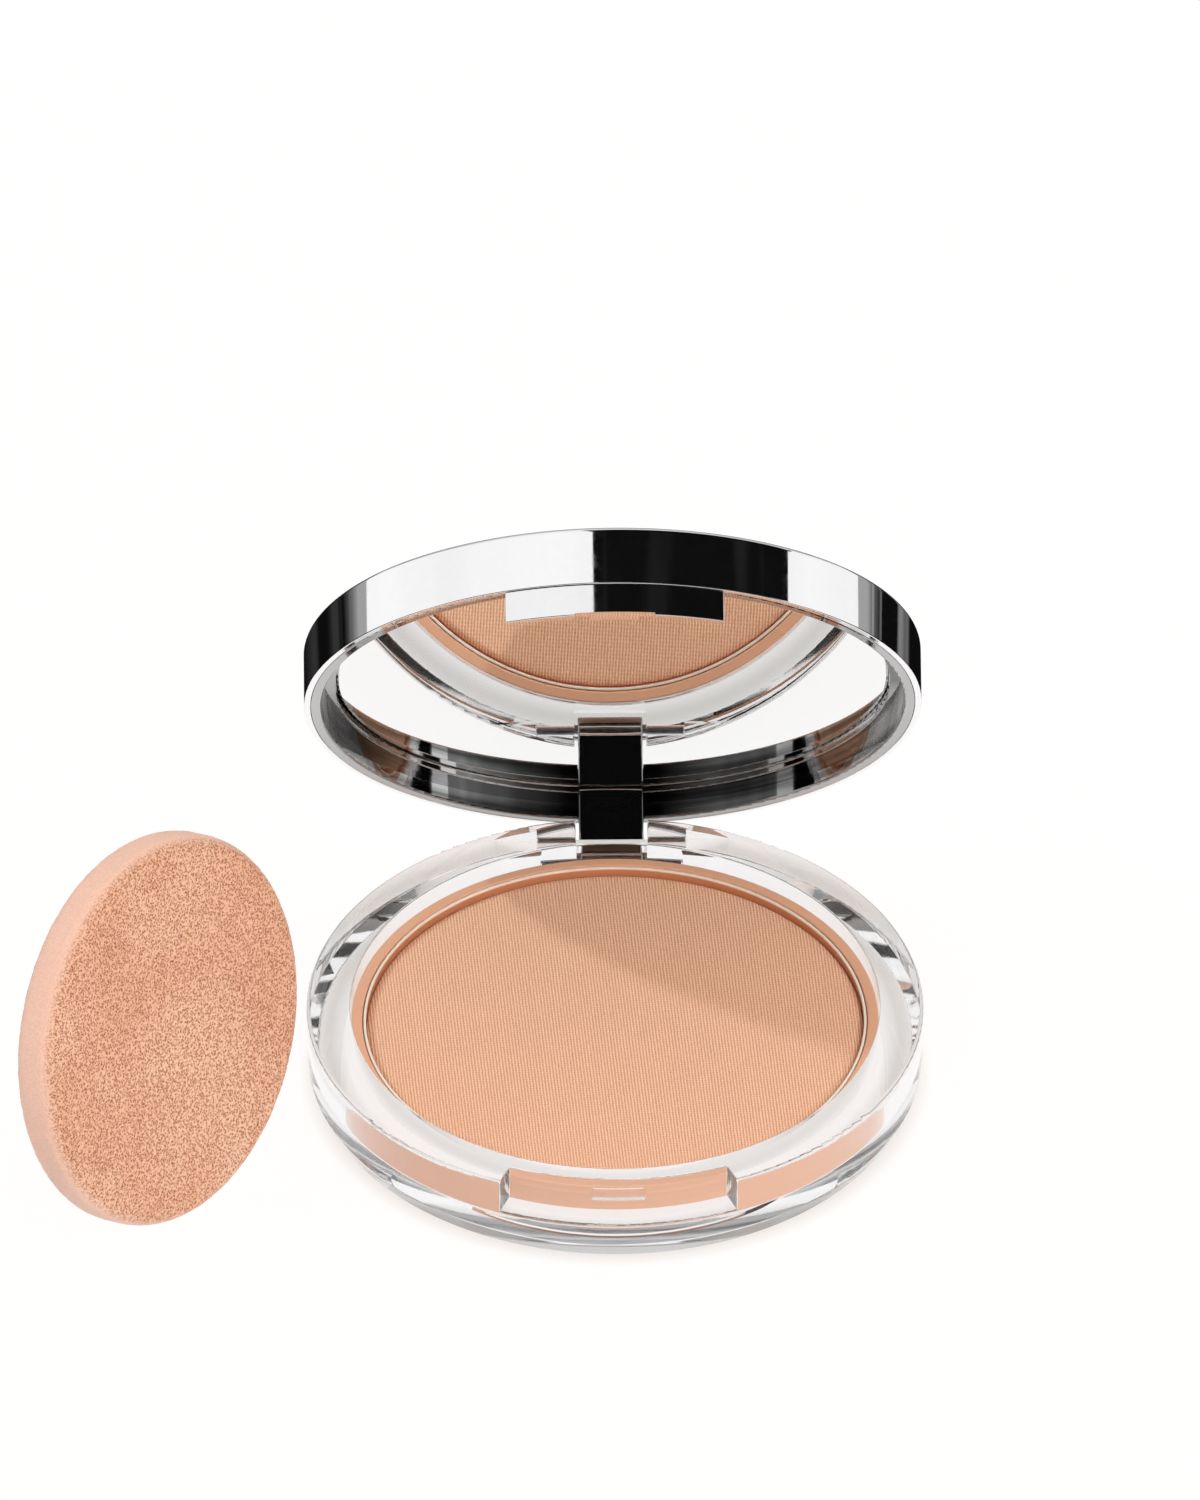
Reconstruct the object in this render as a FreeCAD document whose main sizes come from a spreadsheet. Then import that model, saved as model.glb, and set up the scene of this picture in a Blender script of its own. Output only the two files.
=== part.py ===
import FreeCAD, Part
import Sketcher
import math
import os

# Round pressed-powder compact: a clear base with a coloured cup, a tin pan and a powder cake, a
# chromed lid with a round mirror on a steel hinge pin, and a loose foam sponge standing beside it.
# Millimetres. +Z is up from the resting face at z = 0, and +Y points from the latch to the hinge.
# The lid's pieces are drawn closed and then turned open together about the hinge pin.

DIMENSIONS = {
    # clear base
    "base_radius": 38.5,
    "base_height": 10.45,
    "deck_round": 0.5,
    "foot_radius": 37.0,
    "foot_flare_radius": 38.3,
    "foot_flare_height": 2.5,
    "foot_round": 0.3,
    "flare_round": 0.5,
    "moulded_round": 0.2,
    "well_radius": 33.0,
    "well_floor": 2.9,
    "notch_radius": 35.3,
    "notch_floor": 5.75,
    "notch_sweep": 45.0,
    "catch_depth": 0.6,
    "catch_low": 7.16,
    "catch_high": 8.77,
    "catch_sweep": 10.9,
    "catch_corner": 0.3,
    "catch_round": 0.15,
    "arm_bay_chord": 34.0,
    "arm_bay_floor": 4.0,
    "arm_bay_width": 9.0,
    "pocket_chord": 35.5,
    "pocket_low": 4.3,
    "pocket_high": 7.9,
    "pocket_start": 9.35,
    "label_radius": 16.0,
    "label_recess": 0.3,
    "label_thickness": 0.15,
    "label_margin": 0.3,
    "film_gap": 0.05,
    # hinge
    "hinge_back": 36.5,
    "hinge_height": 6.0,
    "pin_radius": 0.6,
    "pin_length": 18.5,
    "pin_round": 0.15,
    "fixed_clearance": 0.05,
    "running_clearance": 0.08,
    "arm_width": 8.13,
    "arm_front": 35.0,
    "arm_back": 37.3,
    "arm_knuckle_radius": 1.6,
    "arm_slot_gap": 0.04,
    "arm_round": 0.25,
    # cup, pan and powder
    "cup_radius": 32.9,
    "cup_inner_radius": 31.5,
    "cup_floor": 0.8,
    "cup_top": 8.25,
    "cup_round": 0.2,
    "pan_glue_radius": 20.0,
    "pan_glue_thickness": 0.1,
    "pan_radius": 31.4,
    "pan_skin": 0.35,
    "pan_top": 8.15,
    "pan_corner": 0.3,
    "pan_lip_round": 0.12,
    "powder_radius": 31.0,
    "powder_top": 7.3,
    "powder_round": 0.3,
    # lid
    "rim_gap": 0.35,
    "lid_radius": 38.5,
    "lid_height": 7.7,
    "lid_round": 0.7,
    "rim_round": 0.15,
    "shell_wall": 0.8,
    "shell_top": 1.3,
    "frame_gap": 0.05,
    "lip_radius": 36.4,
    "lip_depth": 2.8,
    "lip_round": 0.3,
    "seat_radius": 34.6,
    "mirror_radius": 34.5,
    "mirror_depth": 3.75,
    "mirror_thickness": 1.6,
    "mirror_round": 0.35,
    "tape_radius": 33.5,
    # latch tab
    "tab_inner_radius": 37.0,
    "tab_outer_radius": 38.2,
    "tab_drop": 4.05,
    "tab_root": 2.7,
    "tab_sweep": 41.7,
    "tab_slot_slack": 0.2,
    "tab_relief": 0.3,
    "tab_relief_sweep": 15.0,
    "tab_round": 0.15,
    "lug_radius": 34.95,
    "lug_low": 7.4,
    "lug_high": 8.5,
    "lug_sweep": 10.1,
    "lug_root": 0.2,
    # loose sponge
    "sponge_radius": 24.8,
    "sponge_thickness": 6.0,
    "sponge_round": 1.8,
}

LID_OPEN_DEGREES = 60.6
OVERSHOOT = 1.0  # how far a cutting outline runs past the solid
START, END, CENTRE = 1, 2, 3  # a sketch edge's points
ACROSS_AXIS, UP_AXIS = -1, -2  # a sketch's own axes
ORIGIN = (ACROSS_AXIS, START)
MATCH = 0.01  # how near an edge has to be to the place asked for
SPONGE_PLACE = (-57.0, -21.9)
SPONGE_YAW_DEGREES = 52.0
SPONGE_LEAN_DEGREES = 14.0


class Size:
    """A length with its present value and the sheet formula that it is bound to."""

    def __init__(self, value, formula):
        self.value = value
        self.formula = formula

    def __add__(self, other):
        return joined(self, "+", other, self.value + size_of(other).value)

    def __sub__(self, other):
        return joined(self, "-", other, self.value - size_of(other).value)

    def __mul__(self, number):
        return joined(self, "*", number, self.value * number)

    def __neg__(self):
        return Size(-self.value, f"-({self.formula})")


def size_of(thing):
    return thing if isinstance(thing, Size) else Size(thing, str(thing))


def joined(left, sign, right, value):
    return Size(value, f"({left.formula} {sign} {size_of(right).formula})")


class Sizes:
    """The sheet's dimensions as attributes, each a Size."""

    def __init__(self, sheet, dimensions):
        for name, value in dimensions.items():
            setattr(self, name, Size(value, f"{sheet.Name}.{name}"))


def make_sheet(doc):
    sheet = doc.addObject("Spreadsheet::Sheet", "dimensions")
    for row, (name, value) in enumerate(DIMENSIONS.items(), start=1):
        sheet.set(f"A{row}", name)
        sheet.set(f"B{row}", str(value))
        sheet.setAlias(f"B{row}", name)
    doc.recompute()
    return sheet


def new_body(doc, label):
    body = doc.addObject("PartDesign::Body", label)
    body.Label = label
    return body


def mid_plane(body):
    return next(f for f in body.Origin.OriginFeatures if f.Role == "YZ_Plane")


def new_sketch(body):
    """A sketch on the body's own YZ plane: across is +Y and up is +Z."""
    sketch = body.newObject("Sketcher::SketchObject", "sketch")
    sketch.AttachmentSupport = [(mid_plane(body), "")]
    sketch.MapMode = "FlatFace"
    return sketch


def bind_datum(sketch, kind, geometry, vertex, size):
    """Holds a vertex at a signed distance from the sketch's origin."""
    if size.value == 0:
        axis = UP_AXIS if kind == "DistanceX" else ACROSS_AXIS
        sketch.addConstraint(Sketcher.Constraint("PointOnObject", geometry, vertex, axis))
        return
    ends = (*ORIGIN, geometry, vertex) if size.value > 0 else (geometry, vertex, *ORIGIN)
    distance = size if size.value > 0 else -size
    index = sketch.addConstraint(Sketcher.Constraint(kind, *ends, distance.value))
    sketch.setExpression(f"Constraints[{index}]", distance.formula)


def draw_outline(sketch, corners):
    """A closed outline of straight lines through (across, up) corners."""
    corners = [(size_of(across), size_of(up)) for across, up in corners]
    points = [FreeCAD.Vector(across.value, up.value, 0) for across, up in corners]
    count = len(points)
    for i in range(count):
        sketch.addGeometry(Part.LineSegment(points[i], points[(i + 1) % count]))
    for i in range(count):
        sketch.addConstraint(Sketcher.Constraint("Coincident", i, END, (i + 1) % count, START))
    for i, (across, up) in enumerate(corners):
        bind_datum(sketch, "DistanceX", i, START, across)
        bind_datum(sketch, "DistanceY", i, START, up)


def draw_circle(sketch, across, up, radius):
    centre = FreeCAD.Vector(across.value, up.value, 0)
    circle = sketch.addGeometry(Part.Circle(centre, FreeCAD.Vector(0, 0, 1), radius.value))
    bind_datum(sketch, "DistanceX", circle, CENTRE, across)
    bind_datum(sketch, "DistanceY", circle, CENTRE, up)
    index = sketch.addConstraint(Sketcher.Constraint("Radius", circle, radius.value))
    sketch.setExpression(f"Constraints[{index}]", radius.formula)


def turn(body, corners, sweep=None, kind="PartDesign::Revolution"):
    """Turns a (radius, height) outline about Z: a full turn, or a sweep centred on its plane."""
    sketch = new_sketch(body)
    draw_outline(sketch, corners)
    feature = body.newObject(kind, "turn")
    feature.Profile = sketch
    feature.ReferenceAxis = (sketch, ["V_Axis"])
    feature.Angle = 360.0
    if sweep is not None:
        feature.Midplane = True
        feature.setExpression("Angle", sweep.formula)
    body.Document.recompute()
    return feature


def cut_turn(body, corners, sweep=None):
    return turn(body, corners, sweep, "PartDesign::Groove")


def extrude(body, draw, width, kind="PartDesign::Pad"):
    """Extrudes what draw puts on the YZ plane, half of width to each side."""
    sketch = new_sketch(body)
    draw(sketch)
    feature = body.newObject(kind, "extrusion")
    feature.Profile = sketch
    feature.SideType = "Symmetric"
    feature.setExpression("Length", width.formula)
    body.Document.recompute()
    return feature


def cut_across(body, draw, width):
    return extrude(body, draw, width, "PartDesign::Pocket")


def cut_outwards(body, draw, start, length):
    """Cuts what draw puts on a plane start away from the YZ plane, outwards, on both sides."""
    sketch = new_sketch(body)
    draw(sketch)
    sketch.setExpression("AttachmentOffset.Base.z", start.formula)
    pocket = body.newObject("PartDesign::Pocket", "side_cut")
    pocket.Profile = sketch
    pocket.Reversed = True
    pocket.setExpression("Length", length.formula)
    body.Document.recompute()
    both = body.newObject("PartDesign::Mirrored", "both_sides")
    both.Originals = [pocket]
    both.MirrorPlane = (mid_plane(body), [""])
    body.Tip = both
    body.Document.recompute()
    return both


def close(a, b):
    return math.isclose(a, size_of(b).value, abs_tol=MATCH)


def middle_of(edge):
    return edge.valueAt((edge.FirstParameter + edge.LastParameter) * 0.5)


def ring(radius, height):
    """Picks the circular edges of that radius at that height."""
    return (
        lambda edge, middle: isinstance(edge.Curve, Part.Circle)
        and close(edge.Curve.Radius, radius)
        and close(middle.z, height)
    )


def round_edges(body, feature, radius, wanted):
    """Rounds the edges for which wanted(edge, its middle point) holds."""
    names = [
        f"Edge{number}"
        for number, edge in enumerate(feature.Shape.Edges, start=1)
        if wanted(edge, middle_of(edge))
    ]
    if not names:
        raise RuntimeError(f"{body.Label}: no edge to round")
    fillet = body.newObject("PartDesign::Fillet", "round")
    fillet.Base = (feature, names)
    fillet.setExpression("Radius", radius.formula)
    body.Document.recompute()
    return fillet


def rectangle(left, right, low, high):
    return [(left, low), (right, low), (right, high), (left, high)]


def outline_of(corners):
    return lambda sketch: draw_outline(sketch, corners)


def circle_of(across, up, radius):
    return lambda sketch: draw_circle(sketch, across, up, radius)


def make_base_shell(doc, s):
    """Clear moulding: dished foot, tall rim round a well, latch notch, arm bay and pin pockets."""
    body = new_body(doc, "base_shell")
    beyond = s.base_radius + OVERSHOOT
    above = s.base_height + OVERSHOOT
    blank = turn(
        body,
        [
            (0, s.label_recess),
            (s.label_radius, s.label_recess),
            (s.label_radius, 0),
            (s.foot_radius, 0),
            (s.foot_flare_radius, s.foot_flare_height),
            (s.base_radius, s.base_height - s.deck_round * 2),
            (s.base_radius, s.base_height),
            (s.well_radius, s.base_height),
            (s.well_radius, s.well_floor),
            (0, s.well_floor),
        ],
    )
    foot = round_edges(body, blank, s.foot_round, ring(s.foot_radius, 0))
    flare = round_edges(body, foot, s.flare_round, ring(s.foot_flare_radius, s.foot_flare_height))
    round_edges(body, flare, s.deck_round, ring(s.base_radius, s.base_height))
    cut_turn(body, rectangle(-beyond, -s.notch_radius, s.notch_floor, above), s.notch_sweep)
    catch_back = s.notch_radius - s.catch_depth
    catch_front = s.notch_radius + s.catch_depth
    cut_turn(body, rectangle(-catch_front, -catch_back, s.catch_low, s.catch_high), s.catch_sweep)
    arm_bay = rectangle(s.arm_bay_chord, beyond, s.arm_bay_floor, above)
    cut_across(body, outline_of(arm_bay), s.arm_bay_width)
    pocket = rectangle(s.pocket_chord, beyond, s.pocket_low, s.pocket_high)
    cut_outwards(body, outline_of(pocket), s.pocket_start, s.base_radius)
    bore = circle_of(s.hinge_back, s.hinge_height, s.pin_radius + s.fixed_clearance)
    drilled = cut_across(body, bore, s.pocket_start * 2 + OVERSHOOT)

    def on_notch_edge(edge, middle):
        outside = math.hypot(middle.x, middle.y) > s.base_radius.value - s.deck_round.value
        on_deck = close(middle.z, s.base_height)
        in_front = middle.y < -s.well_radius.value
        return in_front and middle.z > s.notch_floor.value - MATCH and (outside or on_deck)

    def on_catch_corner(edge, middle):
        halfway = close(math.hypot(middle.x, middle.y), s.notch_radius - s.catch_depth * 0.5)
        level = close(middle.z, s.catch_low) or close(middle.z, s.catch_high)
        return middle.y < 0 and halfway and level

    def on_catch_mouth(edge, middle):
        inside = s.catch_low.value - MATCH < middle.z < s.catch_high.value + MATCH
        return middle.y < 0 and inside and close(math.hypot(middle.x, middle.y), s.notch_radius)

    def on_bay_edge(edge, middle):
        between = abs(middle.x) < s.arm_bay_width.value * 0.5 + MATCH
        return middle.y > s.arm_bay_chord.value - MATCH and between and close(middle.z, s.base_height)

    notched = round_edges(body, drilled, s.moulded_round, on_notch_edge)
    cornered = round_edges(body, notched, s.catch_corner, on_catch_corner)
    mouthed = round_edges(body, cornered, s.catch_round, on_catch_mouth)
    round_edges(body, mouthed, s.moulded_round, on_bay_edge)
    return body


def make_hinge_pin(doc, s):
    """Steel pin through both base knuckles and the lid's arm."""
    body = new_body(doc, "hinge_pin")
    wire = extrude(body, circle_of(s.hinge_back, s.hinge_height, s.pin_radius), s.pin_length)
    round_edges(
        body, wire, s.pin_round, lambda edge, middle: close(abs(middle.x), s.pin_length * 0.5)
    )
    return body


def make_base_label(doc, s):
    """Blank round label set up inside the recess of the underside."""
    body = new_body(doc, "base_label")
    top = s.label_recess - s.film_gap
    turn(body, rectangle(0, s.label_radius - s.label_margin, top - s.label_thickness, top))
    return body


def make_powder_cup(doc, s):
    """Coloured cup that lines the well of the base, a film of air off its floor, and holds the pan."""
    body = new_body(doc, "powder_cup")
    low = s.well_floor + s.film_gap
    floor_top = low + s.cup_floor
    cup = turn(
        body,
        [
            (0, low),
            (s.cup_radius, low),
            (s.cup_radius, s.cup_top),
            (s.cup_inner_radius, s.cup_top),
            (s.cup_inner_radius, floor_top),
            (0, floor_top),
        ],
    )
    outer = round_edges(body, cup, s.cup_round, ring(s.cup_radius, s.cup_top))
    round_edges(body, outer, s.cup_round, ring(s.cup_inner_radius, s.cup_top))
    return body


def make_pan_glue(doc, s):
    """Thin adhesive disc between the cup's floor and the pan."""
    body = new_body(doc, "pan_glue")
    low = s.well_floor + s.film_gap + s.cup_floor
    turn(body, rectangle(0, s.pan_glue_radius, low, low + s.pan_glue_thickness))
    return body


def make_powder_pan(doc, s):
    """Drawn tin pan with an upright rim."""
    body = new_body(doc, "powder_pan")
    low = s.well_floor + s.film_gap + s.cup_floor + s.pan_glue_thickness
    inner = s.pan_radius - s.pan_skin
    pan = turn(
        body,
        [
            (0, low),
            (s.pan_radius, low),
            (s.pan_radius, s.pan_top),
            (inner, s.pan_top),
            (inner, low + s.pan_skin),
            (0, low + s.pan_skin),
        ],
    )
    drawn = round_edges(body, pan, s.pan_corner, ring(s.pan_radius, low))
    outer = round_edges(body, drawn, s.pan_lip_round, ring(s.pan_radius, s.pan_top))
    round_edges(body, outer, s.pan_lip_round, ring(inner, s.pan_top))
    return body


def make_pressed_powder(doc, s):
    """Pressed powder cake, a little below the pan's rim."""
    body = new_body(doc, "pressed_powder")
    low = s.well_floor + s.film_gap + s.cup_floor + s.pan_glue_thickness + s.pan_skin
    cake = turn(body, rectangle(0, s.powder_radius, low, s.powder_top))
    round_edges(body, cake, s.powder_round, ring(s.powder_radius, s.powder_top))
    return body


def make_lid_shell(doc, s, rim):
    """Chromed outer cap of the lid."""
    body = new_body(doc, "lid_shell")
    top = rim + s.lid_height
    inner = s.lid_radius - s.shell_wall
    cap = turn(
        body,
        [
            (0, top - s.shell_top),
            (inner, top - s.shell_top),
            (inner, rim),
            (s.lid_radius, rim),
            (s.lid_radius, top),
            (0, top),
        ],
    )
    crowned = round_edges(body, cap, s.lid_round, ring(s.lid_radius, top))
    outer = round_edges(body, crowned, s.rim_round, ring(s.lid_radius, rim))
    round_edges(body, outer, s.rim_round, ring(inner, rim))
    return body


def make_lid_frame(doc, s, rim):
    """Inner lid ring: lip, stepped wall and mirror well, slotted for the tab and the arm."""
    body = new_body(doc, "lid_frame")
    outer = s.lid_radius - s.shell_wall - s.frame_gap
    back = rim + s.lid_height - s.shell_top
    blank = turn(
        body,
        [
            (s.seat_radius, back),
            (s.seat_radius, rim + s.lip_depth),
            (s.lip_radius, rim + s.lip_depth),
            (s.lip_radius, rim),
            (outer, rim),
            (outer, back),
        ],
    )
    lipped = round_edges(body, blank, s.lip_round, ring(s.lip_radius, rim))
    seamed = round_edges(body, lipped, s.rim_round, ring(outer, rim))
    round_edges(body, seamed, s.rim_round, ring(s.seat_radius, rim + s.lip_depth))
    below = rim - OVERSHOOT
    tab_slot = rectangle(
        -(outer + OVERSHOOT), -(s.tab_inner_radius - s.arm_slot_gap), below, rim + s.tab_root
    )
    cut_turn(body, tab_slot, s.tab_sweep + s.tab_slot_slack)
    arm_slot = rectangle(s.seat_radius - OVERSHOOT, s.lid_radius, below, rim + s.mirror_depth)
    cut_across(body, outline_of(arm_slot), s.arm_width + s.arm_slot_gap * 2)
    return body


def make_latch_tab(doc, s, rim):
    """Curved latch tab rooted in the frame, with the catch lug on its inner face."""
    body = new_body(doc, "latch_tab")
    low = rim - s.tab_drop
    root_radius = s.lid_radius - s.shell_wall - s.frame_gap
    shoulder = rim - s.frame_gap
    blank = turn(
        body,
        [
            (-s.tab_inner_radius, low),
            (-s.tab_outer_radius, low),
            (-s.tab_outer_radius, shoulder),
            (-root_radius, shoulder),
            (-root_radius, rim + s.tab_root),
            (-s.tab_inner_radius, rim + s.tab_root),
        ],
        s.tab_sweep,
    )
    round_edges(
        body, blank, s.tab_round, lambda edge, middle: middle.z < shoulder.value - MATCH
    )
    lug = rectangle(-(s.tab_inner_radius + s.lug_root), -s.lug_radius, s.lug_low, s.lug_high)
    turn(body, lug, s.lug_sweep)
    front = s.tab_outer_radius + OVERSHOOT
    behind = s.tab_inner_radius - OVERSHOOT
    thumb_relief = rectangle(-front, -behind, low - OVERSHOOT, low + s.tab_relief)
    cut_turn(body, thumb_relief, s.tab_relief_sweep)
    return body


def make_hinge_arm(doc, s, rim):
    """Arm from the lid frame down to the hinge pin, with a round knuckle on the pin."""
    body = new_body(doc, "hinge_arm")
    web = rectangle(s.arm_front, s.arm_back, s.hinge_height, rim + s.mirror_depth)
    extrude(body, outline_of(web), s.arm_width)
    extrude(body, circle_of(s.hinge_back, s.hinge_height, s.arm_knuckle_radius), s.arm_width)
    bored = cut_across(
        body,
        circle_of(s.hinge_back, s.hinge_height, s.pin_radius + s.running_clearance),
        s.arm_width + OVERSHOOT,
    )

    def on_side_outline(edge, middle):
        at_side = close(abs(middle.x), s.arm_width * 0.5)
        round_one = isinstance(edge.Curve, Part.Circle)
        bore = round_one and close(edge.Curve.Radius, s.pin_radius + s.running_clearance)
        return at_side and not bore

    round_edges(body, bored, s.arm_round, on_side_outline)
    return body


def make_mirror(doc, s, rim):
    body = new_body(doc, "mirror")
    face = rim + s.mirror_depth
    glass = turn(body, rectangle(0, s.mirror_radius, face, face + s.mirror_thickness))
    round_edges(body, glass, s.mirror_round, ring(s.mirror_radius, face))
    return body


def make_mirror_tape(doc, s, rim):
    """Double-sided foam tape between the mirror and the lid's cap."""
    body = new_body(doc, "mirror_tape")
    low = rim + s.mirror_depth + s.mirror_thickness
    turn(body, rectangle(0, s.tape_radius, low, rim + s.lid_height - s.shell_top))
    return body


def make_sponge(doc, s):
    """Foam disc with well-rounded edges, drawn flat about its own centre."""
    body = new_body(doc, "sponge_applicator")
    half = s.sponge_thickness * 0.5
    disc = turn(body, rectangle(0, s.sponge_radius, -half, half))
    lower = round_edges(body, disc, s.sponge_round, ring(s.sponge_radius, -half))
    round_edges(body, lower, s.sponge_round, ring(s.sponge_radius, half))
    return body


def open_lid(bodies, s):
    """Turns the closed lid pieces open about the hinge pin."""
    turned = FreeCAD.Rotation(FreeCAD.Vector(1, 0, 0), -LID_OPEN_DEGREES)
    pivot = FreeCAD.Vector(0, s.hinge_back.value, s.hinge_height.value)
    for body in bodies:
        body.Placement = FreeCAD.Placement(FreeCAD.Vector(0, 0, 0), turned, pivot)


def stand_sponge(body, s):
    """Stands the disc on its rounded edge left of the base, its face yawed right, leaning back."""
    lean = math.radians(SPONGE_LEAN_DEGREES)
    edge = s.sponge_round.value
    core_radius = s.sponge_radius.value - edge
    core_half = s.sponge_thickness.value * 0.5 - edge
    height = core_radius * math.cos(lean) + core_half * math.sin(lean) + edge
    upright = FreeCAD.Rotation(FreeCAD.Vector(1, 0, 0), 90.0 - SPONGE_LEAN_DEGREES)
    yawed = FreeCAD.Rotation(FreeCAD.Vector(0, 0, 1), SPONGE_YAW_DEGREES)
    body.Placement = FreeCAD.Placement(FreeCAD.Vector(*SPONGE_PLACE, height), yawed * upright)


def check_and_export(doc, bodies):
    doc.recompute()
    for item in doc.Objects:
        if {"Invalid", "Error"} & set(item.State):
            raise RuntimeError(f"{item.Name} ({item.Label}) is {item.State}")
    os.makedirs("parts", exist_ok=True)
    for body in bodies:
        shape = body.Shape
        if shape.isNull() or not shape.isValid() or len(shape.Solids) != 1:
            raise RuntimeError(f"{body.Label} is not one valid solid")
        box = shape.BoundBox
        print(
            f"{body.Label:18s} volume {shape.Volume:9.2f} mm3"
            f"  x {box.XMin:7.2f} {box.XMax:7.2f}  y {box.YMin:7.2f} {box.YMax:7.2f}"
            f"  z {box.ZMin:7.2f} {box.ZMax:7.2f}"
        )
        shape.exportStep(f"parts/{body.Label}.step")


def main():
    doc = FreeCAD.newDocument("powder_compact")
    s = Sizes(make_sheet(doc), DIMENSIONS)
    rim = s.base_height + s.rim_gap
    base_makers = (
        make_base_shell,
        make_hinge_pin,
        make_base_label,
        make_powder_cup,
        make_pan_glue,
        make_powder_pan,
        make_pressed_powder,
    )
    lid_makers = (
        make_lid_shell,
        make_lid_frame,
        make_latch_tab,
        make_hinge_arm,
        make_mirror,
        make_mirror_tape,
    )
    base_bodies = [make(doc, s) for make in base_makers]
    lid_bodies = [make(doc, s, rim) for make in lid_makers]
    sponge = make_sponge(doc, s)
    open_lid(lid_bodies, s)
    stand_sponge(sponge, s)
    check_and_export(doc, base_bodies + lid_bodies + [sponge])


main()
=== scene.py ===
import math

import bmesh
import bpy
import numpy as np
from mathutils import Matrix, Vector, noise


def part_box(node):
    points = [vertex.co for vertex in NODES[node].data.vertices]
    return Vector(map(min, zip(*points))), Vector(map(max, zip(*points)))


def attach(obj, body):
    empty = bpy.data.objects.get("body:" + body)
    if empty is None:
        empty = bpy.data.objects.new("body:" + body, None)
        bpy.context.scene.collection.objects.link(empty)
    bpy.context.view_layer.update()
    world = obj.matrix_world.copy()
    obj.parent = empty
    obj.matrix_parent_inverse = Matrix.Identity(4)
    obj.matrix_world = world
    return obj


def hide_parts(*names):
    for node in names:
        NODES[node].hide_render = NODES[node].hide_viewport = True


# A round pressed-powder compact, open, with its foam sponge standing beside it.
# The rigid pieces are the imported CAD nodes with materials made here. The powder's pressed face and
# the sponge are meshes made here. Metres, in the CAD frame.

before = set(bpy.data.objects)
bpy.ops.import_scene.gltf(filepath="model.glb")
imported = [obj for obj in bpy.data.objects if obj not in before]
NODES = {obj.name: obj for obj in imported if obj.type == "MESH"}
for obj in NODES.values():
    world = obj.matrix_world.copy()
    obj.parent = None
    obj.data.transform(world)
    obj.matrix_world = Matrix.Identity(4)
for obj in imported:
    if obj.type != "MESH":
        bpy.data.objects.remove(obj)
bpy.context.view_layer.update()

MM = 0.001
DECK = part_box("base_shell")[1].z
POWDER_LOW, POWDER_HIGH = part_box("pressed_powder")
POWDER_RADIUS = POWDER_HIGH.x
X_AXIS, Y_AXIS, Z_AXIS = Vector((1, 0, 0)), Vector((0, 1, 0)), Vector((0, 0, 1))
RIB_PITCH = 0.383 * MM
RIB_LEAN = math.radians(-3.9)
WAVE_SCALE = 2.0 * math.pi / (20.0 * RIB_PITCH)  # a wave texture turns 20 radians a unit


# ---------------------------------------------------------------- node helpers


def disc_axes(node):
    """A disc-shaped node's centre, its three directions, radius and half thickness, read off its CAD
    solid. The last direction is its face's, towards the front."""
    low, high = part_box(node)
    centre = (low + high) * 0.5
    points = np.array([v.co for v in NODES[node].data.vertices]) - np.array(centre)
    thinnest = np.linalg.svd(points, full_matrices=False)[2][2]
    face = Vector(thinnest)
    if face.y > 0:
        face.negate()
    along = Z_AXIS.cross(face).normalized()
    up = face.cross(along)
    radius = float((points @ np.array(up)).max())
    half_thickness = float((points @ np.array(face)).max())
    return centre, along, up, face, radius, half_thickness


class Nodes:
    """A node tree, with one short call for each kind of node used here."""

    def __init__(self, tree):
        self.tree = tree

    def node(self, kind, inputs=None, **settings):
        made = self.tree.nodes.new(kind)
        for key, value in settings.items():
            setattr(made, key, value)
        for key, value in (inputs or {}).items():
            if isinstance(value, bpy.types.NodeSocket):
                self.tree.links.new(value, made.inputs[key])
            else:
                made.inputs[key].default_value = value
        return made

    def place(self):
        return self.node("ShaderNodeTexCoord").outputs["Object"]

    def noise(self, vector, scale, detail=3.0, roughness=0.5):
        inputs = {"Vector": vector, "Scale": scale, "Detail": detail, "Roughness": roughness}
        return self.node("ShaderNodeTexNoise", inputs).outputs["Fac"]

    def math(self, operation, a, b=0.0):
        return self.node("ShaderNodeMath", {0: a, 1: b}, operation=operation).outputs[0]

    def remap(self, value, low, high, to_low, to_high):
        inputs = {"Value": value, 1: low, 2: high, 3: to_low, 4: to_high}
        return self.node("ShaderNodeMapRange", inputs).outputs[0]

    def along(self, vector, direction):
        """How far a point lies along a direction."""
        inputs = {0: vector, 1: direction}
        return self.node("ShaderNodeVectorMath", inputs, operation="DOT_PRODUCT").outputs["Value"]

    def mix(self, factor, a, b):
        made = self.node("ShaderNodeMix", data_type="RGBA")
        for socket, value in ((made.inputs[0], factor), (made.inputs[6], a), (made.inputs[7], b)):
            if isinstance(value, bpy.types.NodeSocket):
                self.tree.links.new(value, socket)
            else:
                socket.default_value = value
        return made.outputs[2]

    def bump(self, height, strength, distance):
        inputs = {"Height": height, "Strength": strength, "Distance": distance}
        return self.node("ShaderNodeBump", inputs).outputs["Normal"]


class Shader(Nodes):
    """A material's nodes, which start from a Principled shader."""

    def __init__(self, name):
        self.material = bpy.data.materials.new(name)
        self.material.use_nodes = True
        super().__init__(self.material.node_tree)
        self.bsdf = self.tree.nodes["Principled BSDF"]
        self.output = self.tree.nodes["Material Output"]

    def set(self, **values):
        """Sets sockets of the Principled node: base_color becomes Base Color, and so on."""
        for key, value in values.items():
            socket = self.bsdf.inputs[key.replace("_", " ").title().replace("Ior", "IOR")]
            if isinstance(value, bpy.types.NodeSocket):
                self.tree.links.new(value, socket)
            else:
                socket.default_value = value


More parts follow.
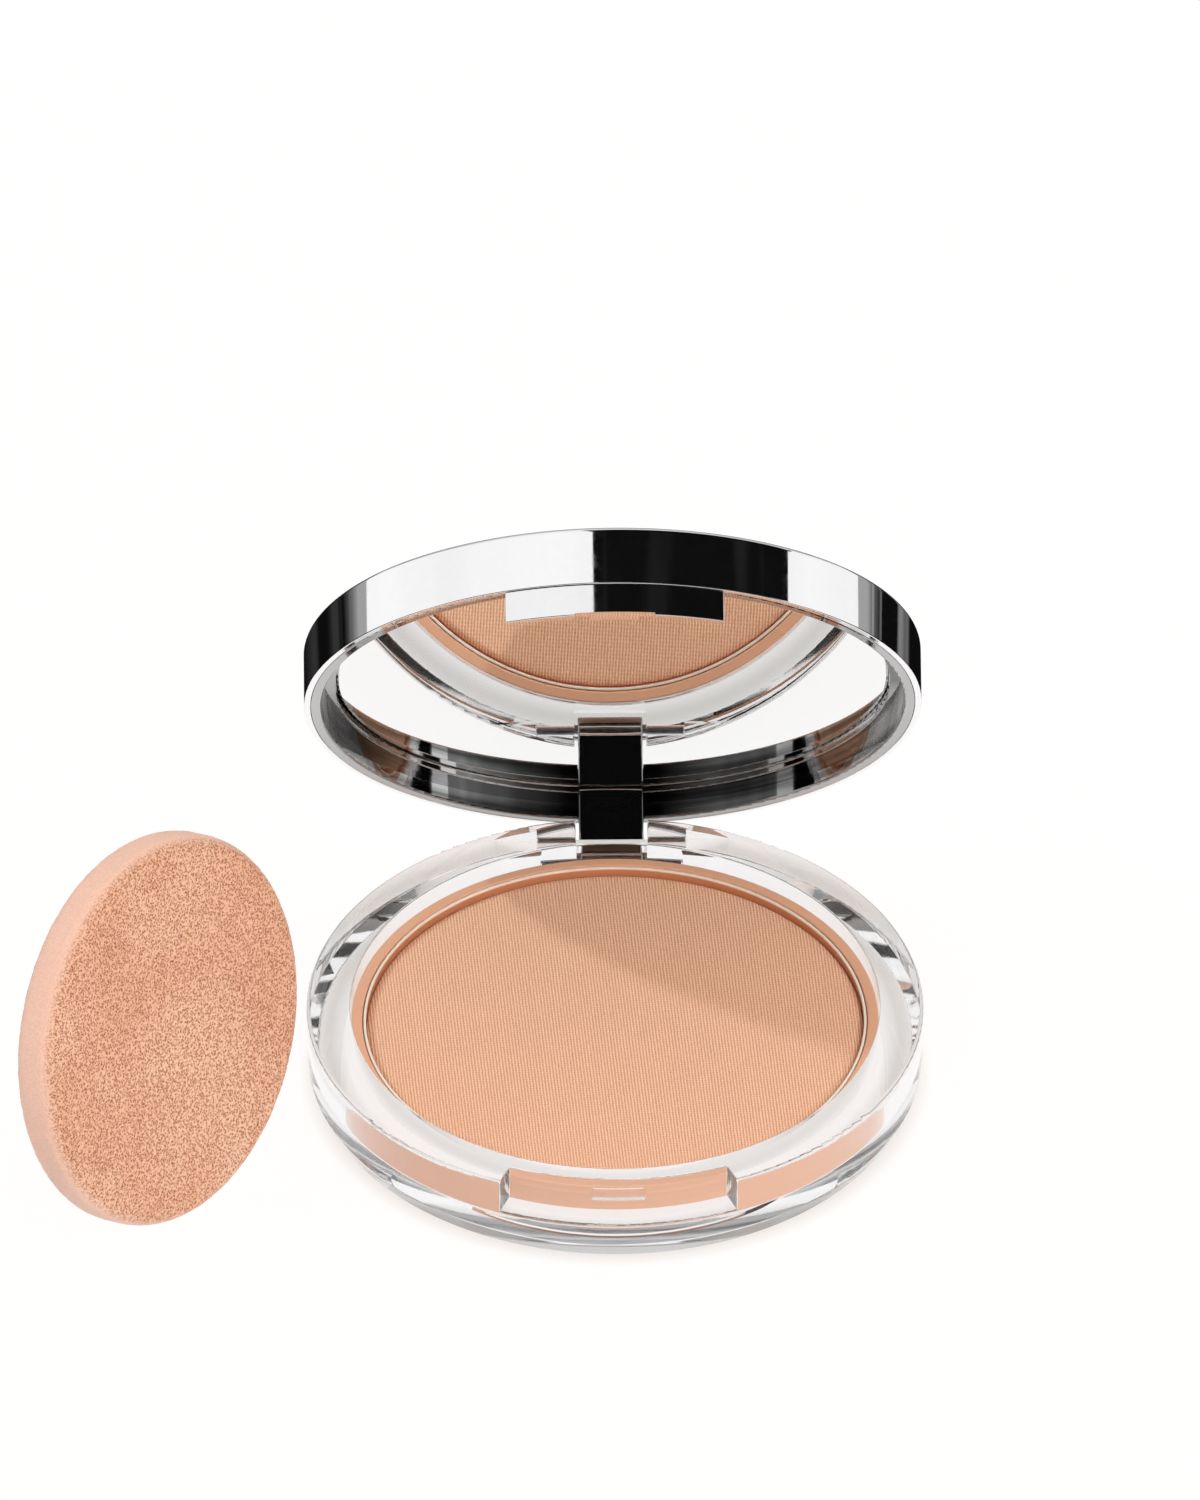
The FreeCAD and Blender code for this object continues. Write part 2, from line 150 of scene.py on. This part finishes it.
def rgb(red, green, blue):
    """A colour given in screen values from 0 to 255, as the linear colour that a shader takes."""

    def linear(value):
        value /= 255.0
        return value / 12.92 if value <= 0.04045 else ((value + 0.055) / 1.055) ** 2.4

    return (linear(red), linear(green), linear(blue), 1.0)


def grey(value):
    return (value, value, value, 1.0)


# ---------------------------------------------------------------- materials


def clear_plastic():
    m = Shader("clear_plastic")
    haze = m.noise(m.place(), 260.0, 2.0)
    m.set(
        base_color=(0.93, 0.94, 0.95, 1.0),
        roughness=m.remap(haze, 0.35, 0.75, 0.0, 0.03),
        ior=1.5,
        transmission_weight=1.0,
    )
    return m.material


def plated_plastic(name, tint=0.9, wobble=0.05):
    """Chrome plating on a moulding: bright, with a faint wave from the plastic below it."""
    m = Shader(name)
    place = m.place()
    wave = m.noise(place, 38.0, 1.0, 0.3)
    grain = m.noise(place, 900.0, 2.0)
    bright, dull = (tint, tint, tint * 1.01, 1.0), (tint * 0.96, tint * 0.96, tint * 0.97, 1.0)
    m.set(
        base_color=m.mix(grain, bright, dull),
        metallic=1.0,
        roughness=m.remap(grain, 0.3, 0.7, 0.02, 0.06),
        normal=m.bump(wave, wobble, 1.0 * MM),
    )
    return m.material


def frame_plating():
    """The inner frame's plating, with painted reflections in its colour: dark streaks down the stepped
    wall, and a paler painted reflection on the lip round the lid, darker towards its low end.
    """
    m = Shader("frame_chrome_painted_reflections")
    place = m.place()
    centre, _, up, face, radius, _ = disc_axes("mirror")
    lip_height = max(v.co.dot(face) for v in NODES["lid_frame"].data.vertices)
    height = m.along(place, face)
    on_lip = m.remap(height, lip_height - 0.5 * MM, lip_height - 0.15 * MM, 0.0, 1.0)
    # Painted reflections: a paler grey on the lip, darker towards its low end, and dark streaks down
    # the stepped wall.
    low_end = m.remap(m.along(place, up), centre.dot(up) - radius, centre.dot(up), 0.0, 1.0)
    stretched = {0: height, 1: m.along(place, up * 0.05), 2: m.along(place, X_AXIS * 0.05)}
    painted_reflection_streaks = m.noise(m.node("ShaderNodeCombineXYZ", stretched).outputs[0], 700.0, 3.0)
    wall = m.mix(m.remap(painted_reflection_streaks, 0.35, 0.65, 0.0, 1.0), grey(0.16), grey(0.55))
    lip = m.mix(low_end, grey(0.36), grey(0.5))
    m.set(
        base_color=m.mix(on_lip, wall, lip),
        metallic=1.0,
        roughness=m.remap(m.noise(place, 900.0, 2.0), 0.3, 0.7, 0.02, 0.06),
        normal=m.bump(m.noise(place, 60.0, 1.0, 0.3), 0.05, 1.0 * MM),
    )
    return m.material


def mirror_glass():
    m = Shader("mirror_glass")
    speck = m.noise(m.place(), 500.0, 2.0)
    m.set(
        base_color=(0.93, 0.94, 0.94, 1.0),
        metallic=1.0,
        roughness=m.remap(speck, 0.6, 0.8, 0.0, 0.02),
    )
    return m.material


def pin_steel():
    m = Shader("pin_steel")
    place = m.place()
    streak = m.node("ShaderNodeMapping", {"Vector": place, "Scale": (60.0, 2500.0, 2500.0)}).outputs[0]
    drawn = m.noise(streak, 1.0, 3.0)
    m.set(
        # The pin's steel is painted darker than real steel, a painted shade.
        base_color=(0.34, 0.34, 0.35, 1.0),
        metallic=1.0,
        roughness=m.remap(drawn, 0.2, 0.8, 0.15, 0.35),
        normal=m.bump(drawn, 0.15, 0.05 * MM),
    )
    return m.material


def pan_metal():
    """Bright pan, with a painted dark-orange shade below its rim."""
    m = Shader("pan_metal")
    place = m.place()
    drawn = m.noise(place, 700.0, 3.0)
    rim_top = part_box("powder_pan")[1].z
    on_rim = m.remap(m.along(place, Z_AXIS), rim_top - 0.35 * MM, rim_top - 0.15 * MM, 0.0, 1.0)
    m.set(
        # Below the rim the colour is a painted shade in dark orange. The rim itself keeps the pan's
        # pale colour.
        base_color=m.mix(on_rim, rgb(206, 144, 106), rgb(247, 240, 230)),
        metallic=0.3,
        roughness=m.remap(drawn, 0.2, 0.8, 0.34, 0.48),
        normal=m.bump(drawn, 0.1, 0.03 * MM),
    )
    return m.material


def cup_plastic():
    m = Shader("cup_plastic")
    place = m.place()
    cloud = m.noise(place, 60.0, 3.0)
    spark = m.noise(place, 2200.0, 2.0)
    m.set(
        base_color=m.mix(cloud, rgb(223, 175, 145), rgb(215, 164, 134)),
        roughness=m.remap(spark, 0.3, 0.7, 0.28, 0.42),
        normal=m.bump(spark, 0.12, 0.03 * MM),
    )
    return m.material


def label_paper():
    m = Shader("label_paper")
    fibre = m.noise(m.place(), 1600.0, 4.0)
    m.set(
        base_color=m.mix(fibre, rgb(240, 239, 236), rgb(226, 224, 220)),
        roughness=0.55,
        normal=m.bump(fibre, 0.2, 0.03 * MM),
    )
    return m.material


def soft_film(name, colour, darker):
    m = Shader(name)
    cell = m.noise(m.place(), 1300.0, 3.0)
    m.set(
        base_color=m.mix(cell, colour, darker),
        roughness=0.7,
        normal=m.bump(cell, 0.3, 0.05 * MM),
    )
    return m.material


def pressed_powder():
    """Pressed powder: fine cloth ribs from the press, broken up by grain, with a painted shade in the
    ribs' valleys and a painted highlight on their ridges.
    """
    m = Shader("pressed_powder")
    place = m.place()
    warp = m.node("ShaderNodeMapping", {"Vector": place, "Rotation": (0.0, 0.0, RIB_LEAN)}).outputs[0]

    def ribs(across, scale, distortion):
        inputs = {"Vector": warp, "Scale": scale, "Distortion": distortion}
        inputs |= {"Detail": 2.0, "Detail Scale": 3.0}
        return m.node("ShaderNodeTexWave", inputs, bands_direction=across).outputs["Fac"]

    columns = ribs("X", WAVE_SCALE, 1.6)
    rows = ribs("Y", WAVE_SCALE * 0.8, 2.5)
    cloth = m.math("ADD", columns, m.math("MULTIPLY", rows, 0.25))
    grain = m.noise(place, 5200.0, 4.0, 0.65)
    patch = m.noise(place, 70.0, 3.0)
    height = m.math("ADD", cloth, m.math("MULTIPLY", grain, 0.9))
    # The ribs' valleys are painted darker and their ridges lighter: painted shade and painted highlight
    # of the ribs.
    painted_shade_valley = m.mix(patch, rgb(209, 151, 117), rgb(203, 143, 109))
    tone = m.mix(m.remap(cloth, 0.1, 1.1, 0.0, 1.0), painted_shade_valley, rgb(250, 211, 182))
    tone = m.mix(m.remap(grain, 0.4, 0.7, 0.0, 0.4), tone, rgb(222, 166, 130))
    m.set(
        base_color=tone,
        roughness=0.85,
        sheen_weight=0.15,
        sheen_roughness=0.6,
        normal=m.bump(height, 0.8, 0.08 * MM),
    )
    return m.material


def sponge_foam():
    """Fine open foam: pale skin with small pores painted darker, a painted shade in them, and a
    smoother moulded edge.
    """
    m = Shader("sponge_foam")
    place = m.place()
    pores = m.node("ShaderNodeTexVoronoi", {"Vector": place, "Scale": 3200.0}).outputs["Distance"]
    small = m.noise(place, 4600.0, 3.0, 0.7)
    cloud = m.noise(place, 70.0, 3.0)
    pit = m.math("ADD", m.math("MULTIPLY", pores, 0.6), m.math("MULTIPLY", small, 0.9))
    skin = m.mix(m.remap(cloud, 0.35, 0.65, 0.0, 1.0), rgb(230, 192, 166), rgb(221, 176, 147))
    # The pits are painted dark, a painted shade in the pores.
    tone = m.mix(m.remap(pit, 0.55, 0.85, 0.0, 1.0), rgb(150, 80, 50), skin)
    centre, _, _, face, _, half = disc_axes("sponge_applicator")
    from_middle = m.math("ABSOLUTE", m.math("SUBTRACT", m.along(place, face), centre.dot(face)))
    on_face = m.remap(from_middle, half * 0.62, half * 0.92, 0.15, 1.0)
    tone = m.mix(on_face, rgb(232, 196, 180), tone)
    m.set(
        base_color=tone,
        roughness=0.9,
        subsurface_weight=0.15,
        subsurface_radius=(1.2 * MM, 0.6 * MM, 0.4 * MM),
        subsurface_scale=1.0,
        sheen_weight=0.1,
        normal=m.bump(pit, 0.7, 0.12 * MM),
    )
    return m.material


def dress(node, material):
    for slot in NODES[node].material_slots:
        slot.material = material


dress("base_shell", clear_plastic())
dress("lid_shell", plated_plastic("lid_chrome", tint=0.96))
dress("lid_frame", frame_plating())
dress("latch_tab", plated_plastic("tab_chrome", tint=0.9, wobble=0.02))
# The hinge arm's chrome is painted darker, a painted shade for the dark reflections it would show.
dress("hinge_arm", plated_plastic("arm_chrome_painted_dark", tint=0.62, wobble=0.02))
dress("mirror", mirror_glass())
dress("hinge_pin", pin_steel())
dress("powder_pan", pan_metal())
dress("powder_cup", cup_plastic())
dress("base_label", label_paper())
dress("pan_glue", soft_film("pan_glue", rgb(224, 214, 196), rgb(206, 194, 174)))
dress("mirror_tape", soft_film("mirror_tape", rgb(236, 236, 232), rgb(214, 214, 210)))


# ---------------------------------------------------------------- powder and sponge


def new_piece(name, bm, material, smooth=True):
    mesh = bpy.data.meshes.new(name)
    bm.to_mesh(mesh)
    bm.free()
    for face in mesh.polygons:
        face.use_smooth = smooth
    mesh.materials.append(material)
    piece = bpy.data.objects.new(name, mesh)
    bpy.context.scene.collection.objects.link(piece)
    return piece


def turned_mesh(profile, steps, place):
    """A closed solid turned about its axis: profile runs from the axis out and back to the axis.
    place takes a radius, an angle and a height, and gives the point."""
    bm = bmesh.new()
    ends = (bm.verts.new(place(0.0, 0.0, profile[0][1])), bm.verts.new(place(0.0, 0.0, profile[-1][1])))
    rows = []
    for radius, height in profile[1:-1]:
        turn = [2.0 * math.pi * i / steps for i in range(steps)]
        rows.append([bm.verts.new(place(radius, angle, height)) for angle in turn])
    for i in range(steps):
        after = (i + 1) % steps
        bm.faces.new((ends[0], rows[0][after], rows[0][i]))
        bm.faces.new((ends[1], rows[-1][i], rows[-1][after]))
        for lower, upper in zip(rows, rows[1:]):
            bm.faces.new((lower[i], lower[after], upper[after], upper[i]))
    bmesh.ops.recalc_face_normals(bm, faces=bm.faces)
    return bm


def arc(centre_radius, centre_height, size, start, end, count):
    """Points of a round corner, as (radius, height), between two angles in degrees."""
    found = []
    for i in range(count + 1):
        angle = math.radians(start + (end - start) * i / count)
        found.append((centre_radius + size * math.cos(angle), centre_height + size * math.sin(angle)))
    return found


def make_powder():
    """The powder cake: its face a little uneven, and rounded off where it meets the pan."""
    edge, sunk, uneven = 1.5 * MM, 0.55 * MM, 0.04 * MM
    low, top = POWDER_LOW.z, POWDER_HIGH.z
    face_radii = [(POWDER_RADIUS - edge) * i / 60 for i in range(59, -1, -1)]
    profile = [(0.0, low)]
    profile += [(POWDER_RADIUS * i / 8, low) for i in range(1, 9)]
    for radius, height in arc(0.0, 0.0, 1.0, 0.0, 90.0, 8):
        profile.append((POWDER_RADIUS - edge + edge * radius, top - sunk + sunk * height))
    profile += [(radius, top) for radius in face_radii]

    def place(radius, angle, height):
        point = Vector((radius * math.cos(angle), radius * math.sin(angle), height))
        if height > top - sunk:
            wave = noise.noise(Vector((point.x * 90.0, point.y * 90.0, 3.0)))
            fade = max(0.0, 1.0 - (radius / POWDER_RADIUS) ** 6)
            point.z += uneven * wave * fade - uneven
        return point

    piece = new_piece("powder_cake", turned_mesh(profile, 192, place), pressed_powder())
    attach(piece, "base")
    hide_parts("pressed_powder")


def make_sponge():
    """Foam disc: slightly hollow faces, a rounded moulded edge and a pitted surface."""
    centre, along, up, face, radius, half = disc_axes("sponge_applicator")
    edge = half * 0.62
    inset = 0.12 * MM  # room for the pitting inside the CAD solid
    rings, turns = 90, 400
    core = radius - edge - inset
    flat = half - inset
    profile = [(core * i / rings, -flat) for i in range(rings)]
    profile += arc(core, -flat + edge, edge, -90.0, 0.0, 10)
    profile += arc(core, flat - edge, edge, 0.0, 90.0, 10)
    profile += [(core * i / rings, flat) for i in range(rings - 1, -1, -1)]

    def place(distance, angle, height):
        across, over = distance * math.cos(angle), distance * math.sin(angle)
        point = centre + along * across + up * over + face * height
        side = 1 if height > 0 else -1
        hollow = -0.1 * MM * (1.0 - (distance / radius) ** 2) * side
        dent = 0.075 * MM * noise.noise(point * 60.0)
        return point + face * (hollow + dent)

    bm = turned_mesh(profile, turns, place)
    bm.normal_update()
    for vertex in bm.verts:
        fine = noise.noise(vertex.co * 2400.0) * 0.6 + noise.noise(vertex.co * 1100.0) * 0.5
        vertex.co += vertex.normal * (fine * 0.09 * MM)
    piece = new_piece("sponge", bm, sponge_foam())
    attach(piece, "sponge")
    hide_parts("sponge_applicator")
    return piece


make_powder()
SPONGE = make_sponge()


# ---------------------------------------------------------------- stage, light and camera


def plane(name, centre, along, up, width, height, material):
    """A flat stage panel. along and up are the directions of its two sides."""
    bm = bmesh.new()
    half_across, half_up = along.normalized() * width * 0.5, up.normalized() * height * 0.5
    corners = [
        centre - half_across - half_up,
        centre + half_across - half_up,
        centre + half_across + half_up,
        centre - half_across + half_up,
    ]
    bm.faces.new([bm.verts.new(corner) for corner in corners])
    panel = new_piece(name, bm, material, smooth=False)
    return panel


def stage_paint(name, tone_of):
    """A surface that shows its own tone only, whatever light falls on it."""
    m = Shader(name)
    glow = m.node("ShaderNodeEmission", {"Color": tone_of(m, m.place())})
    m.tree.links.new(glow.outputs[0], m.output.inputs["Surface"])
    return m.material


def black_cloth(m, place):
    """Black with faint folds."""
    return m.mix(m.remap(m.noise(place, 9.0, 2.0), 0.55, 0.75, 0.0, 1.0), grey(0.004), grey(0.02))


def fading_card(m, place):
    """Black close by, grey further off, with a few pale streaks on the right."""
    distance = m.node("ShaderNodeVectorMath", {0: place}, operation="LENGTH").outputs["Value"]
    upright = m.node("ShaderNodeMapping", {"Vector": place, "Scale": (14.0, 1.5, 1.0)}).outputs[0]
    streak = m.remap(m.noise(upright, 1.0, 3.0), 0.5, 0.62, 0.0, 1.0)
    right = m.remap(m.along(place, X_AXIS), 0.0, 0.1, 0.08, 0.6)
    tone = m.math("ADD", m.remap(distance, 0.3, 0.7, 0.0, 1.0), m.math("MULTIPLY", streak, right))
    return m.mix(tone, grey(0.004), grey(0.36))


def front_cloth(m, place):
    """Black in the middle, grey and softly folded towards both ends."""
    off_middle = m.math("ABSOLUTE", m.along(place, X_AXIS))
    rise = m.remap(off_middle, 0.7, 3.4, 0.0, 1.0)
    fold = m.remap(m.noise(place, 0.9, 2.0), 0.3, 0.7, 0.15, 0.45)
    return m.mix(m.math("MULTIPLY", rise, fold), grey(0.004), grey(1.0))


def shaded_backdrop(m, place):
    """Pale above and grey below, for the flat top of the lid."""
    height = m.along(place, Z_AXIS)
    soft = m.math("ADD", height, m.math("MULTIPLY", m.noise(place, 1.2, 2.0), 0.5))
    return m.mix(m.remap(soft, 0.6, 2.2, 0.0, 1.0), grey(0.3), grey(0.95))


def floor_material():
    """White sweep: mostly its own light, so that it stays pale, with a painted shadow under the
    compact.
    """
    m = Shader("floor_white")
    m.set(base_color=grey(0.9), roughness=0.9, specular_ior_level=0.0)
    distance = m.node("ShaderNodeVectorMath", {0: m.place()}, operation="LENGTH").outputs["Value"]
    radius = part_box("base_shell")[1].x
    # A painted shadow under the base: a darker ring just inside its edge, lighter in the middle, fading
    # out just past the edge.
    shade = m.remap(distance, radius - 2.5 * MM, radius + 1.0 * MM, 0.0, 1.0)
    deep = m.remap(distance, radius - 5.0 * MM, radius - 3.0 * MM, 0.0, 1.0)
    under = m.mix(deep, grey(0.97), (0.72, 0.71, 0.69, 1.0))
    tone = m.mix(shade, under, (0.99, 0.995, 1.0, 1.0))
    glow = m.node("ShaderNodeEmission", {"Color": tone, "Strength": FLOOR_GLOW})
    mix = m.node("ShaderNodeMixShader", {0: FLOOR_GLOW_SHARE, 1: m.bsdf.outputs[0], 2: glow.outputs[0]})
    m.tree.links.new(mix.outputs[0], m.output.inputs["Surface"])
    return m.material


def make_floor():
    centre = Vector((0, 0, -0.02 * MM))  # just clear of the base
    return plane("floor", centre, X_AXIS, Y_AXIS, FLOOR_SIDE, FLOOR_SIDE, floor_material())


def studio_world():
    """A white room, a little uneven in gloss. Matt surfaces get a warmer light from it, and the clear
    plastic shows its dim lower walls."""
    world = bpy.data.worlds.new("studio")
    bpy.context.scene.world = world
    world.use_nodes = True
    w = Nodes(world.node_tree)
    ray = w.node("ShaderNodeLightPath").outputs
    toward = w.node("ShaderNodeTexCoord").outputs["Generated"]
    in_gloss = w.mix(w.remap(w.noise(toward, 1.8), 0.35, 0.65, 0.0, 1.0), grey(0.93), ROOM)
    in_glass = w.mix(w.remap(w.along(toward, Z_AXIS), 0.0, 0.5, 0.0, 1.0), ROOM_WALLS, ROOM)
    seen = w.mix(ray["Is Transmission Ray"], in_gloss, in_glass)
    background = w.tree.nodes["Background"].inputs["Color"]
    w.tree.links.new(w.mix(ray["Is Diffuse Ray"], seen, ROOM_ON_MATT), background)


def only_in_gloss_and_glass(panel):
    panel.visible_camera = False
    panel.visible_diffuse = False
    panel.visible_shadow = False


def flag(name, direction, distance, across, height, material):
    """A panel that faces the compact from a direction."""
    toward = Vector(direction).normalized()
    along = Z_AXIS.cross(toward).normalized()
    panel = plane(name, AIM + toward * distance, along, toward.cross(along), across, height, material)
    only_in_gloss_and_glass(panel)


def card_on_floor(name, left, right, near, far, material):
    """A dark card on the floor, given by its four edges."""
    above_floor = 0.5 * MM
    centre = Vector(((left + right) * 0.5, (near + far) * 0.5, above_floor))
    panel = plane(name, centre, X_AXIS, Y_AXIS, right - left, far - near, material)
    only_in_gloss_and_glass(panel)
    return panel


def lamp(name, direction, distance, size, watts, colour, floor):
    """A round soft light that faces the compact and leaves the floor unlit."""
    data = bpy.data.lights.new(name, "AREA")
    data.shape = "DISK"
    data.size = size
    data.energy = watts
    data.color = colour
    light = bpy.data.objects.new(name, data)
    bpy.context.scene.collection.objects.link(light)
    light.location = AIM + Vector(direction).normalized() * distance
    light.rotation_euler = (AIM - light.location).to_track_quat("-Z", "Y").to_euler()
    light.visible_glossy = False
    light.visible_transmission = False
    light.light_linking.receiver_collection = all_but(floor)
    return light


def all_but(spared):
    group = bpy.data.collections.new("all_but_" + spared.name)
    group.objects.link(spared)
    group.collection_objects[0].light_linking.link_state = "EXCLUDE"
    return group


def make_camera():
    """A very long lens, a little left of square on, 37.8 degrees above the table."""
    elevation, azimuth = math.radians(37.8), math.radians(-0.7)
    distance = 6.0
    scale = 8.02 / MM  # picture pixels to a metre at the compact
    picture_height = 1500.0  # in the same pixels
    data = bpy.data.cameras.new("camera")
    data.sensor_width = 36.0
    data.lens = scale * distance / picture_height * data.sensor_width
    data.shift_x = -0.010
    data.shift_y = 0.1702
    data.clip_start = 0.01
    data.clip_end = 20.0
    camera = bpy.data.objects.new("camera", data)
    bpy.context.scene.collection.objects.link(camera)
    level = Vector((math.sin(azimuth), -math.cos(azimuth), 0.0))
    camera.location = AIM + (level * math.cos(elevation) + Z_AXIS * math.sin(elevation)) * distance
    camera.rotation_euler = (math.pi / 2 - elevation, 0.0, azimuth)
    bpy.context.scene.camera = camera


AIM = Vector((0.0, 0.0, DECK))
LIGHT_BOUNCES = 40  # the clear plastic passes light on many times before it leaves
FLOOR_SIDE = 6.0
FLOOR_GLOW = 1.22
FLOOR_GLOW_SHARE = 0.72
CARD_REACH = 3.0  # the floor cards run out this far, to the floor's edge
CARD_SIDE_GAP = 0.09  # they leave white floor beside the compact
CARD_BACK = 0.065  # the back card starts behind the lid
ROOM = grey(1.0)
ROOM_WALLS = (0.30, 0.28, 0.25, 1.0)
ROOM_ON_MATT = (0.62, 0.52, 0.46, 1.0)
COOL, WARM = (0.85, 0.96, 1.0), (1.0, 0.93, 0.86)
BLACK = stage_paint("studio_black", black_cloth)
CARD = stage_paint("studio_card", fading_card)
CLOTH = stage_paint("studio_cloth", front_cloth)
BACKDROP = stage_paint("studio_backdrop", shaded_backdrop)

bpy.context.scene.view_settings.view_transform = "Standard"
for kind in ("max_bounces", "transmission_bounces", "glossy_bounces"):
    setattr(bpy.context.scene.cycles, kind, LIGHT_BOUNCES)
studio_world()
flag("flag_above_right", (0.43, 0.037, 0.9), distance=0.66, across=0.79, height=0.84, material=BLACK)
flag("flag_behind_camera", (0.0, -0.876, 0.48), distance=2.28, across=8.0, height=2.4, material=CLOTH)
flag("backdrop", (0.0, 0.8, 0.55), distance=2.0, across=3.6, height=2.4, material=BACKDROP)
for side in (-1, 1):
    left, right = sorted((side * CARD_SIDE_GAP, side * CARD_REACH))
    side_card = card_on_floor(f"side_card_{side}", left, right, -CARD_REACH, CARD_BACK, CLOTH)
    side_card.visible_transmission = False
card_on_floor("dark_card", -CARD_REACH, CARD_REACH, CARD_BACK, CARD_REACH, CARD)
FLOOR = make_floor()
KEY = lamp("key", (-1.25, 0.4, 1.0), distance=1.1, size=0.04, watts=3.6, colour=COOL, floor=FLOOR)
KEY.light_linking.blocker_collection = all_but(SPONGE)
lamp("fill", (0.4, -0.62, 0.67), distance=1.6, size=0.9, watts=16.5, colour=WARM, floor=FLOOR)
make_camera()

# Light reaches the cup and the floor through the clear plastic, and the chrome leaves out the sponge.
NODES["base_shell"].visible_diffuse = False
NODES["base_shell"].visible_shadow = False
SPONGE.visible_glossy = False
